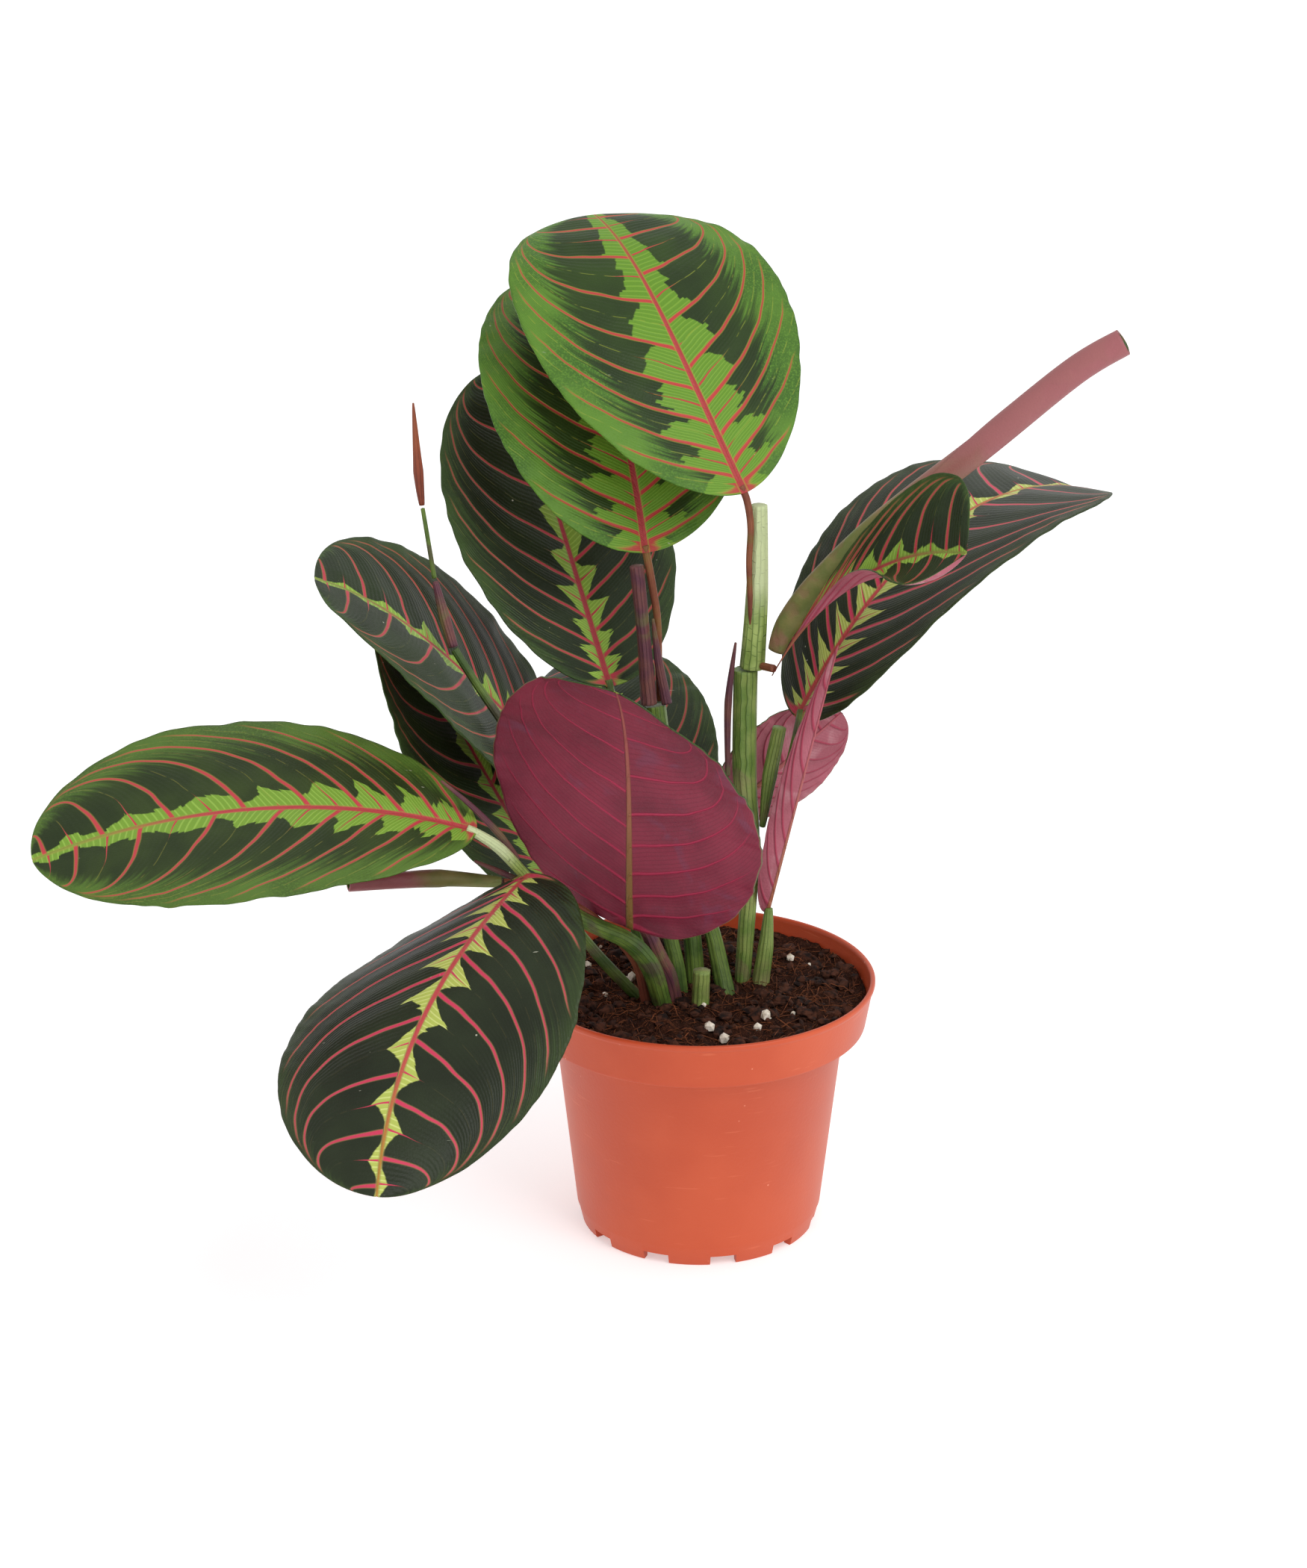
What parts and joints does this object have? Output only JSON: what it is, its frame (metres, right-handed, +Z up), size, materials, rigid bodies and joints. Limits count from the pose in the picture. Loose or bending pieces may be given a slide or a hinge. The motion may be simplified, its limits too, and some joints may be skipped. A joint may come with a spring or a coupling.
{
  "type": "potted prayer plant",
  "caption": "Free-standing prayer plant in a round plastic nursery pot: patterned oval leaves on jointed stems above dark soil.",
  "frame": {"origin": "on the ground, under the middle of the plant's box", "axes": "+Z up, -Y towards the side where the purple-backed front leaf stands"},
  "size_m": [0.3514, 0.2718, 0.3348],
  "materials": {
    "terracotta_plastic": "satin moulded polypropylene, terracotta orange",
    "soil": "damp peat with fibres and perlite grains",
    "leaf_blade": "thin leaf, green feather pattern and red veins above, wine red below",
    "rolled_leaf": "young leaf rolled in a tube, olive and rose",
    "green_stem": "ribbed green stem, satin",
    "pale_sheath": "pale green leaf sheath with a fine net of veins",
    "brown_petiole": "red-brown leaf stalk joint, softly hairy",
    "purple_sheath": "thin purple sheath or bract, satin"
  },
  "bodies": {
    "root": {"pot": "terracotta_plastic", "soil": "soil", "cane_a": "green_stem", "sheath_a": "pale_sheath", "petiole_a": "brown_petiole", "bract_a": "purple_sheath", "sheath_j": "pale_sheath", "petiole_j": "green_stem", "pulvinus_l": "brown_petiole", "petiole_m": "green_stem", "petiole_n": "brown_petiole", "cane_b": "green_stem", "sheath_b": "pale_sheath", "petiole_b": "brown_petiole", "bract_b": "purple_sheath", "petiole_c": "green_stem", "petiole_d": "green_stem", "petiole_e": "green_stem", "cane_f": "green_stem", "petiole_f": "pale_sheath", "sheath_f": "purple_sheath", "bract_f": "purple_sheath", "pulvinus_g": "brown_petiole", "sheath_h": "purple_sheath", "pulvinus_h": "brown_petiole", "petiole_i": "green_stem", "petiole_p": "brown_petiole", "leaf_p": "rolled_leaf", "leaf_k": "rolled_leaf", "flower_stalk": "green_stem", "bract_lower": "purple_sheath", "flower_stalk_top": "green_stem", "bract_upper": "purple_sheath", "cut_stub": "green_stem", "leaf_a": "leaf_blade", "leaf_b": "leaf_blade", "leaf_c": "leaf_blade", "leaf_d": "leaf_blade", "leaf_e": "leaf_blade", "leaf_f": "leaf_blade", "leaf_g": "leaf_blade", "leaf_h": "leaf_blade", "leaf_i": "leaf_blade", "leaf_j": "leaf_blade", "leaf_l": "leaf_blade", "leaf_m": "leaf_blade", "leaf_n": "leaf_blade"}
  },
  "joints": []
}
